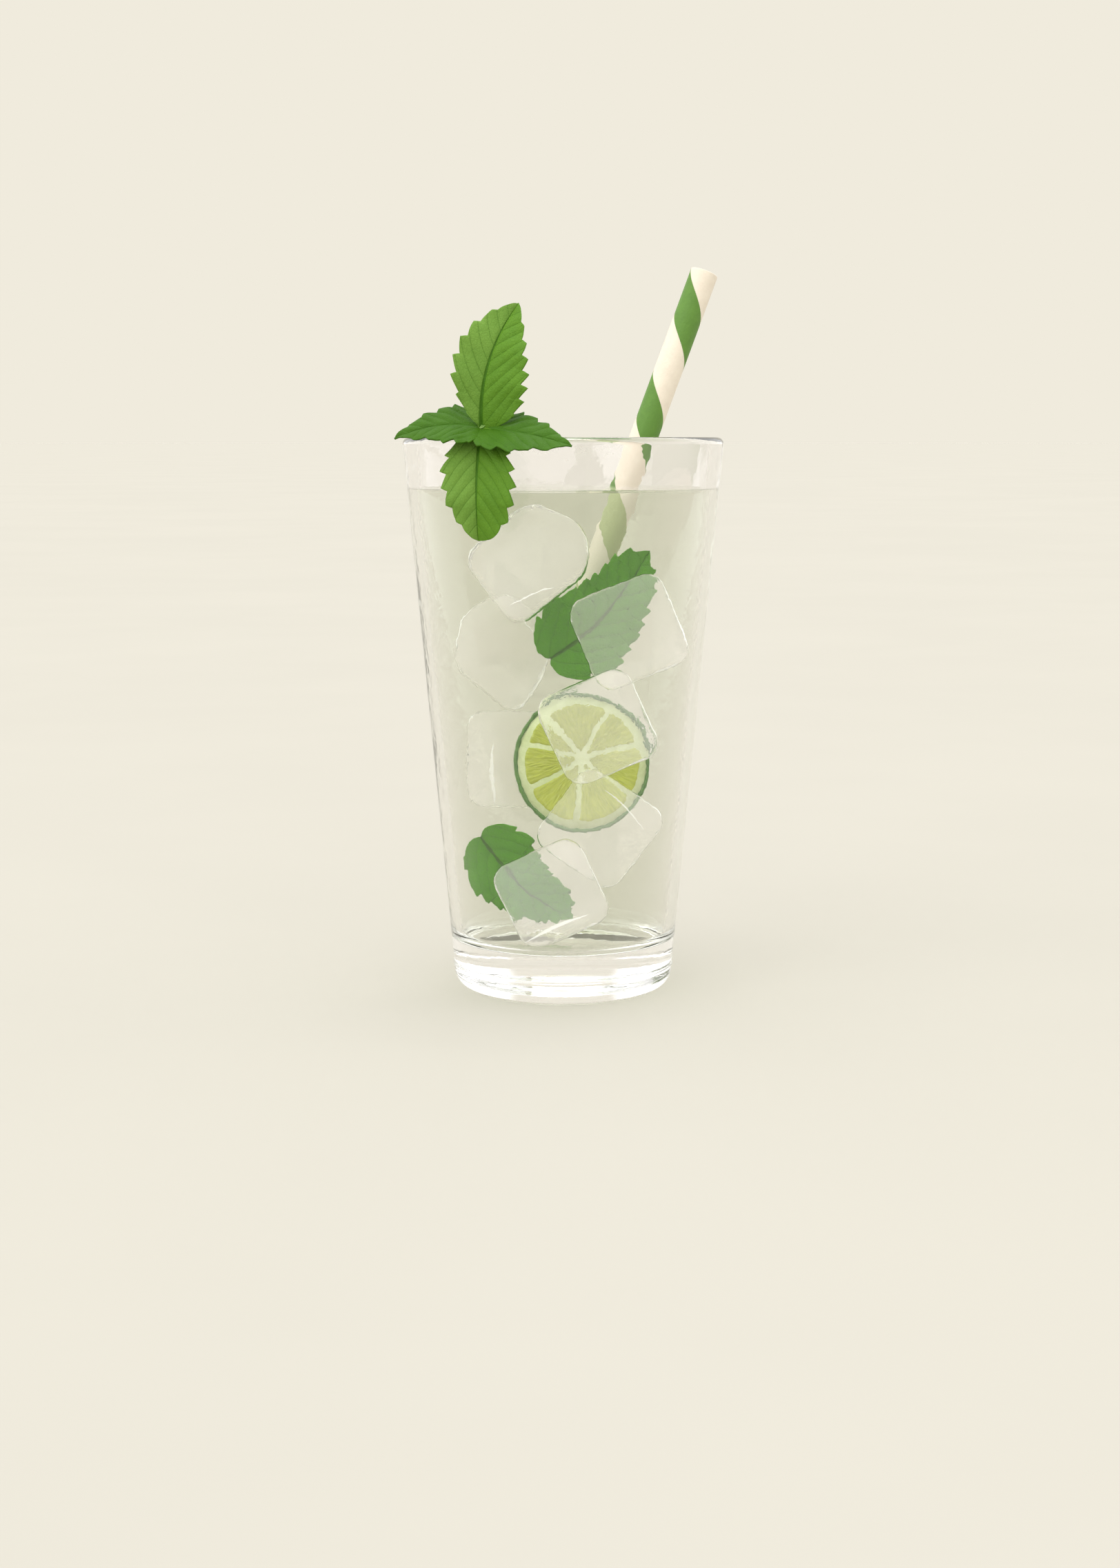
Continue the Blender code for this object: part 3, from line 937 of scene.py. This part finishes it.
def ice_block(name, corners, depth_y, thickness, back, right):
    """A block from its corners in the picture, as a prism with soft edges."""
    corners = [Vector(corner) for corner in corners]
    middle = sum(corners, Vector((0, 0))) / len(corners)
    place = at_pixel(*middle, depth_y)
    size = pixel_size(place)
    bm = bmesh.new()
    rings = []
    for level in (-thickness / 2 * MM, thickness / 2 * MM):
        rings.append([bm.verts.new(((corner.x - middle.x) * size, level,
                                    (middle.y - corner.y) * size)) for corner in corners])
    bm.faces.new(rings[0])
    bm.faces.new(rings[1][::-1])
    for index in range(len(corners)):
        other = (index + 1) % len(corners)
        bm.faces.new((rings[0][index], rings[1][index], rings[1][other], rings[0][other]))
    bmesh.ops.recalc_face_normals(bm, faces=bm.faces)
    bmesh.ops.bevel(bm, geom=bm.edges[:], offset=ICE_BEVEL, segments=ICE_BEVEL_STEPS,
                    profile=0.5, affect="EDGES", clamp_overlap=True)
    bmesh.ops.triangulate(bm, faces=[face for face in bm.faces if len(face.verts) > 4])
    mesh = bpy.data.meshes.new(name)
    bm.to_mesh(mesh)
    bm.free()
    block = show(name, mesh, ice)
    remesh = block.modifiers.new("even faces", "REMESH")
    remesh.mode = "VOXEL"
    remesh.voxel_size = ICE_FACE
    remesh.use_smooth_shade = True
    soften = block.modifiers.new("soften", "SMOOTH")
    soften.iterations = ICE_SOFTENING
    melt = block.modifiers.new("melt", "DISPLACE")
    melt.texture = melting
    melt.texture_coords = "GLOBAL"
    melt.mid_level = 0.5
    melt.strength = MELT_DEPTH
    face_lens = Matrix.Rotation(-PITCH_DOWN, 4, "X")
    turn = Euler((math.radians(-back), 0.0, math.radians(right))).to_matrix().to_4x4()
    block.matrix_world = Matrix.Translation(place) @ face_lens @ turn
    return keep_with(block, "ice")


blocks = {name: ice_block(name, *spec) for name, spec in ICE_BLOCKS.items()}
print("ice blocks:", len(blocks))

# %% [markdown]
# Ice is clear where the drink is cloudy, so it shows as a paler patch. For that the drink
# must end where the ice begins, or its haze would go on inside the block. Its mesh gets a
# hollow round each block: the block's own skin, a hair wider and turned inside out.

# %% Hollows in the drink
HOLLOW_GAP = 0.05 * MM


def hollow_for(block, ready):
    """The skin of a hollow that a block lies in, as a mesh in the world's coordinates."""
    mesh = bpy.data.meshes.new_from_object(block.evaluated_get(ready))
    bm = bmesh.new()
    bm.from_mesh(mesh)
    bm.transform(block.matrix_world)
    bm.normal_update()
    for point in bm.verts:
        point.co += point.normal * HOLLOW_GAP
    bmesh.ops.reverse_faces(bm, faces=bm.faces)
    bm.to_mesh(mesh)
    bm.free()
    return mesh


bpy.context.view_layer.update()
ready = bpy.context.evaluated_depsgraph_get()
body = bpy.data.meshes.new_from_object(pour.evaluated_get(ready))
bm = bmesh.new()
bm.from_mesh(body)
for block in blocks.values():
    mesh = hollow_for(block, ready)
    bm.from_mesh(mesh)
    bpy.data.meshes.remove(mesh)
bm.to_mesh(body)
bm.free()
body.shade_smooth()
pour.modifiers.clear()
pour.data = body
print("drink with its hollows:", len(body.vertices), "points")

# %% [markdown]
# Ice cracks where warm drink meets it. A crack is a thin curved sheet of air inside a block,
# seen almost along its edge. So each is a slim sheet that is widest and deepest halfway and
# runs out to a point at both ends. Its white is a painted glint: a half clear, matt white
# sheet stands for the light that a crack reflects.

# %% Cracks in the ice
CRACK_HALF_DEPTH = 1.6
CRACK_ROWS = 17
CRACK_SIDES = (-1.0, -0.5, 0.0, 0.5, 1.0)
CRACK_BOW = 0.04
CRACK_THICKNESS = 0.08 * MM
# From pixel, to pixel, width in pixels, then the depth of its middle, in millimetres as its
# half depth is. Each runs so that the side that is seen looks up or left, to the light.
ICE_CRACKS = (
    ((805, 848), (742, 876), 2.0, -4), ((775, 915), (755, 894), 2.0, 15),
    ((717, 1072), (720, 1162), 5.0, 12.8), ((930, 1201), (875, 1143), 2.0, -5.5),
    ((851, 1324), (763, 1365), 5.0, -16.5),
)

# A painted highlight: the crack is a matt white, half clear finish lit like paper, where a real
# crack reflects as an air gap.
crack, graph, shader = finish("ice crack glint", linear(253, 252, 253), 0.5, Alpha=0.4)
mottled(graph, shader, graph.object_place(), 0.002, linear(255, 254, 255), linear(246, 246, 248))


def crack_sheet(start, end, width, depth_y):
    """The mesh of one crack, which bows to one side."""
    start, end = Vector(start), Vector(end)
    across = (end - start).orthogonal().normalized()
    rows = []
    for share in np.linspace(0.0, 1.0, CRACK_ROWS):
        swell = math.sin(math.pi * share)
        middle = start.lerp(end, share) + across * (end - start).length * CRACK_BOW * swell
        rows.append([at_pixel(*(middle + across * width * swell * side / 2),
                              depth_y + CRACK_HALF_DEPTH * swell * side)
                     for side in CRACK_SIDES])
    return sheet_mesh("crack", np.array(rows))


sheets = joined("ice_cracks", [crack_sheet(*spec) for spec in ICE_CRACKS])
cracks = keep_with(show("ice_cracks", sheets, crack), "ice")
thicken = cracks.modifiers.new("thickness", "SOLIDIFY")
thicken.thickness = CRACK_THICKNESS
print("cracks:", len(ICE_CRACKS))

# %% [markdown]
# ## The lime
# A slice across a lime shows, from outside in, a dark green skin, a white pith, and seven
# wedges of pulp parted by thin walls that meet at the core. The slice is built lying in its
# own XY plane and then stood up to face the lens. Angles go anticlockwise from the right.

# %% Lime: its shape
LIME_RADIUS = 18.7 * MM
SKIN = 1.0 * MM
PITH = 1.85 * MM
SLICE = 4.0 * MM
SKIN_ROUNDING = 0.5 * MM
INTO_SKIN = 0.05 * MM
PITH_SUNK = 0.1 * MM
LIME_OVAL = 0.020
LIME_UNEVEN = 0.005
LIME_COLUMNS = 180
WELD = 0.001 * MM


def lime_edge(angle):
    """A lime is never quite round. This one is a little taller than it is wide."""
    return 1.0 - LIME_OVAL * np.cos(2 * angle) + LIME_UNEVEN * np.cos(3 * angle - 1.0)


def disc_mesh(name, rings):
    """A turned shape whose (radius, height) rings follow the lime's uneven edge. Rings that
    meet, or that shrink to a point, are welded."""
    angles = np.linspace(0, math.tau, LIME_COLUMNS, endpoint=False)[::-1]
    edges = [(lime_edge(angle) * math.cos(angle), lime_edge(angle) * math.sin(angle))
             for angle in angles]
    grid = [[(radius * x, radius * y, height) for x, y in edges] for radius, height in rings]
    mesh = sheet_mesh(name, np.array(grid), around=True)
    bm = bmesh.new()
    bm.from_mesh(mesh)
    bmesh.ops.remove_doubles(bm, verts=bm.verts, dist=WELD)
    bm.to_mesh(mesh)
    bm.free()
    return mesh


# %% Lime: skin and pith
PORES_A_METRE = 900.0

skin, graph, shader = finish(
    "lime skin", linear(66, 112, 26), 0.38, Coat_Weight=0.2, Coat_Roughness=0.2)
place = graph.object_place()
mottled(graph, shader, place, 0.004, linear(74, 121, 31), linear(58, 103, 21))
pores = graph.add("TexVoronoi", {"Vector": place, "Scale": PORES_A_METRE})
graph.relief(shader, graph.span(pores.outputs["Distance"], 0.0, 0.5), 0.5, 0.2 * MM)

pith, graph, shader = finish(
    "lime pith", linear(210, 218, 172), 0.55, Coat_Weight=0.15, Coat_Roughness=0.3)
place = graph.object_place()
mottled(graph, shader, place, 0.003, linear(216, 223, 180), linear(200, 210, 158))
grained(graph, shader, place, size=0.0008, depth=0.3)

top = SLICE / 2
outline = rounded([(LIME_RADIUS - SKIN, top, 0.0), (LIME_RADIUS, top, SKIN_ROUNDING),
                   (LIME_RADIUS, -top, SKIN_ROUNDING), (LIME_RADIUS - SKIN, -top, 0.0)], steps=5)
outline.append(outline[0])
peel = show("lime_skin", disc_mesh("lime_skin", outline), skin)
pith_radius = LIME_RADIUS - SKIN + INTO_SKIN
pith_top = top - PITH_SUNK
rings = [(pith_radius * share, pith_top * face)
         for share, face in ((0.0, 1), (0.5, 1), (1.0, 1), (1.0, -1), (0.5, -1), (0.0, -1))]
pith_disc = show("lime_pith", disc_mesh("lime_pith", rings), pith)
print("lime: %.0f mm across" % (2 * LIME_RADIUS / MM))

# %% [markdown]
# The pulp is made of tear-shaped juice sacs that point to the core. Each wedge is a grid in
# angle and radius, and cells that are long along the radius raise the sacs.

# %% Lime: wedges of pulp
PULP_RADIUS = LIME_RADIUS - SKIN - PITH
PULP_ROWS = 70
PULP_COLUMNS = 60
PULP_RISE = 0.35 * MM
PULP_SUNK = 0.15 * MM
MEMBRANE = 1.2 * MM
CORE_RISE = 1.3 * MM
CORE_RADIUS = 1.7 * MM
CORNER_CUT = 0.05
TIP_CUT = 0.3 * MM
EDGE_WIDTH = 0.12
END_STEEPNESS = (4.0, 2.2)
SACS_A_RADIAN = 16.0
SACS_A_METRE = 190.0
# Where each wall meets the pith, and where it would meet the core, in degrees.
WALLS = ((125.3, 124.0), (63.9, 73.0), (19.0, 27.0), (-34.8, -39.0), (-96.1, -91.0),
         (-153.7, -143.0), (-199.3, -209.0))


def wall_angle(wall, share):
    """A wall's angle at a share of the way from the core to the pith."""
    outer, core = wall
    return math.radians(core + (outer - core) * share ** 0.6)


def wedge(first, second):
    """The points of one wedge's front: rows run outward, columns go across it."""
    rows = []
    for row in np.linspace(0.0, 1.0, PULP_ROWS):
        radius = CORE_RADIUS + (PULP_RADIUS - CORE_RADIUS) * row
        share = radius / PULP_RADIUS
        gap = MEMBRANE / 2 / radius
        low, high = wall_angle(second, share) + gap, wall_angle(first, share) - gap
        line = []
        for column in np.linspace(0.0, 1.0, PULP_COLUMNS):
            across = 2 * column - 1
            angle = low + (high - low) * column
            reach = radius * (1 - CORNER_CUT * row**6 * across**8)
            reach += (1 - row) ** 2 * abs(across) ** 3 * TIP_CUT
            reach *= lime_edge(angle)
            edge = min(1 - abs(across), row * END_STEEPNESS[0], (1 - row) * END_STEEPNESS[1])
            rim = min(1.0, edge / EDGE_WIDTH) ** 0.5
            near = noise.voronoi(Vector((angle * SACS_A_RADIAN, radius * SACS_A_METRE, 0.0)))[0]
            rise = rim * PULP_RISE * (1 + near[1] - near[0])
            line.append((reach * math.cos(angle), reach * math.sin(angle) + CORE_RISE * (1 - row),
                         pith_top - PULP_SUNK + rise))
        rows.append(line)
    return np.array(rows)


def pulp_wedge(first, second):
    """One wedge: its front, the same again behind, and the walls that join them."""
    front = wedge(first, second)
    both = joined("wedge", [sheet_mesh("wedge", front * np.array([1.0, 1.0, face]))
                            for face in (1, -1)])
    bm = bmesh.new()
    bm.from_mesh(both)
    bmesh.ops.bridge_loops(bm, edges=[edge for edge in bm.edges if edge.is_boundary])
    bmesh.ops.recalc_face_normals(bm, faces=bm.faces)
    bm.to_mesh(both)
    bm.free()
    return both


last_wall = (WALLS[0][0] - 360, WALLS[0][1] - 360)
pairs = list(zip(WALLS, (*WALLS[1:], last_wall)))
wedges = joined("lime_pulp", [pulp_wedge(*pair) for pair in pairs])
print("pulp:", len(pairs), "wedges")

# %% [markdown]
# The sacs show in the colour too, so the material works in the same turned coordinates as
# the mesh, the angle and the radius. Then the whole slice is stood up in the drink.

# %% Lime: pulp and place
LIME_PIXEL = (842.5, 1104.0)
LIME_DEPTH = 6.0
LIME_TURN = math.radians(3)

pulp, graph, shader = finish(
    "lime pulp", linear(165, 171, 35), 0.3, Coat_Weight=0.4, Coat_Roughness=0.1)
place = graph.object_place()
parts = graph.add("SeparateXYZ", {0: place}).outputs
angle = graph.math("ARCTAN2", parts["Y"], parts["X"])
flat = graph.add("CombineXYZ", {"X": parts["X"], "Y": parts["Y"]}).outputs[0]
radius = graph.vector("LENGTH", flat).outputs["Value"]
polar = graph.add("CombineXYZ", {
    "X": graph.math("MULTIPLY", angle, SACS_A_RADIAN),
    "Y": graph.math("MULTIPLY", radius, SACS_A_METRE)}).outputs[0]
streaks = graph.add("TexNoise", {"Vector": polar, "Scale": 1.6, "Detail": 3.0}).outputs[0]
sacs = graph.add("TexVoronoi", {"Vector": polar, "Scale": 1.0}, feature="DISTANCE_TO_EDGE")
sac_walls = graph.span(sacs.outputs["Distance"], 0.0, 0.1, 1.0, 0.0)
colour = graph.blend(graph.span(streaks, 0.35, 0.65), linear(159, 167, 28), linear(176, 183, 50))
colour = graph.blend(graph.math("MULTIPLY", sac_walls, 0.35), colour, linear(188, 192, 92))
graph.feed(shader.inputs["Base Color"], colour)
graph.relief(shader, streaks, 0.3, 0.3 * MM)

flesh = show("lime_pulp", wedges, pulp)
lime_place = at_pixel(*LIME_PIXEL, LIME_DEPTH)
stand_up = (Matrix.Translation(lime_place) @ Matrix.Rotation(-PITCH_DOWN, 4, "X")
            @ Matrix.Rotation(LIME_TURN, 4, "Z") @ Matrix.Rotation(math.pi / 2, 4, "X"))
for piece in (peel, pith_disc, flesh):
    piece.matrix_world = stand_up
    keep_with(piece, "lime_slice")
print("the slice's middle, in mm:", [round(part / MM) for part in lime_place])

# %% [markdown]
# ## The sunk leaves
# Two loose mint leaves hang in the drink. Their bases are heart-shaped and their teeth
# uneven, so each is listed: the midrib's points, then each margin from base to tip as runs.
# A run starts in a notch and ends at a tooth's point, and is a smooth line when it has more
# points than those two. All are pixels of the picture, and depths are millimetres.

# %% Sunk leaves: outlines listed
SUNK_LEAVES = {
    "sunk_leaf_1": (
        [(798, 953), (836, 927), (872, 893), (905, 852), (926, 820), (938, 797)],
        [[(798, 953), (789, 951), (780, 941), (776, 925), (776, 908), (779, 892)],
         [(787, 897), (788, 884), (793, 872), (804, 861)],
         [(808, 870), (833, 850)], [(833, 857), (849, 837)], [(852, 846), (860, 830)],
         [(863, 835), (876, 815)], [(877, 821), (889, 802)], [(890, 809), (910, 792)],
         [(914, 800), (938, 797)]],
        [[(798, 953), (800, 964), (807, 974), (820, 981), (838, 984), (855, 984)],
         [(856, 975), (869, 975), (886, 970), (900, 959)],
         [(895, 953), (913, 940)], [(908, 936), (925, 920)], [(918, 919), (931, 904)],
         [(924, 901), (940, 885)], [(931, 884), (940, 870), (946, 855)],
         [(941, 857), (946, 843)], [(939, 845), (946, 825)], [(940, 824), (938, 797)]],
        (5.5, 8.0)),
    "sunk_leaf_2": (
        [(700, 1211), (728, 1248), (757, 1281), (785, 1304), (812, 1319), (830, 1328)],
        [[(700, 1211), (703, 1202), (710, 1196), (721, 1193), (735, 1193), (751, 1196)],
         [(747, 1202), (760, 1204), (770, 1209), (777, 1216)],
         [(769, 1220), (786, 1240)], [(780, 1241), (797, 1254)], [(790, 1257), (803, 1263)],
         [(799, 1266), (816, 1277)], [(811, 1278), (827, 1288)], [(821, 1289), (834, 1305)],
         [(828, 1309), (830, 1328)]],
        [[(700, 1211), (692, 1213), (684, 1219), (678, 1230), (675, 1245), (675, 1259)],
         [(682, 1259), (682, 1271), (687, 1285), (695, 1297)],
         [(700, 1293), (711, 1307)], [(714, 1303), (728, 1317)], [(729, 1311), (741, 1322)],
         [(744, 1317), (757, 1329)], [(758, 1323), (769, 1329), (782, 1335)],
         [(781, 1330), (792, 1335)], [(790, 1329), (807, 1335)], [(808, 1330), (830, 1328)]],
        (2.0, 4.0)),
}
print("sunk leaves:", len(SUNK_LEAVES))

# %% [markdown]
# A margin's runs are joined into one line, and so are the midrib's points. Each row of the
# leaf's grid then takes its points at the same share of the way along all three lines, so
# the rows lie across the blade, and every tooth keeps its point.

# %% Sunk leaves: blades
SUNK_VEINS = 8
SUNK_CUP = 0.12
SMOOTH_STEPS = 24
EVEN_ROWS = 90


def smooth_line(points):
    """A smooth curve through a list of points. Two points give a straight line."""
    points = np.array(points, float)
    if len(points) == 2:
        return points
    slopes = np.gradient(points, axis=0)
    place = np.linspace(0.0, len(points) - 1, SMOOTH_STEPS)
    index = np.minimum(place.astype(int), len(points) - 2)
    t = (place - index)[:, None]
    a, b, to_a, to_b = points[index], points[index + 1], slopes[index], slopes[index + 1]
    return ((2 * t**3 - 3 * t**2 + 1) * a + (t**3 - 2 * t**2 + t) * to_a
            + (3 * t**2 - 2 * t**3) * b + (t**3 - t**2) * to_b)


def travelled(line):
    """How far along a line each of its points lies, from 0 to 1."""
    steps = np.linalg.norm(np.diff(line, axis=0), axis=1)
    return np.concatenate([[0.0], np.cumsum(steps)]) / steps.sum()


def along_line(line, place):
    """The points that lie at the given shares of the way along a line."""
    return np.stack([np.interp(place, travelled(line), line[:, axis]) for axis in (0, 1)], 1)


def sunk_leaf(name, midrib, left, right, depths):
    """A leaf from its drawn lines, with the depths of its base and its tip."""
    margins = [np.concatenate([smooth_line(run) for run in runs]) for runs in (right, left)]
    place = np.unique(np.concatenate(
        [*(travelled(margin) for margin in margins), np.linspace(0.0, 1.0, EVEN_ROWS)]).round(4))
    base, tip = np.array(midrib[0]), np.array(midrib[-1])
    reach = tip - base

    def stand(line):
        share = (line - base) @ reach / (reach @ reach)
        depth = depths[0] + (depths[1] - depths[0]) * share
        return np.array([at_pixel(*pixel, y) for pixel, y in zip(line, depth)])

    rib = stand(along_line(smooth_line(midrib), place))
    outward = [stand(along_line(margin, place)) - rib for margin in margins]
    toward_lens = -np.array(AHEAD)
    outward = [out + toward_lens * np.linalg.norm(out, axis=1, keepdims=True) * SUNK_CUP
               for out in outward]
    length = np.linalg.norm(rib[-1] - rib[0])
    upward = np.repeat(toward_lens[None], len(place), 0)
    colours = leaf_finish("mint " + name.replace("_", " "), SUNK_VEINS, LEAF_WET, LEAF_WET, RIB)
    leaf = blade(name, place, rib, np.stack(outward, 1), upward, SUNK_VEINS, length, colours)
    return keep_with(leaf, "mint_leaf")


for name, spec in SUNK_LEAVES.items():
    leaf = sunk_leaf(name, *spec)
    print(name + ":", len(leaf.data.vertices), "points")
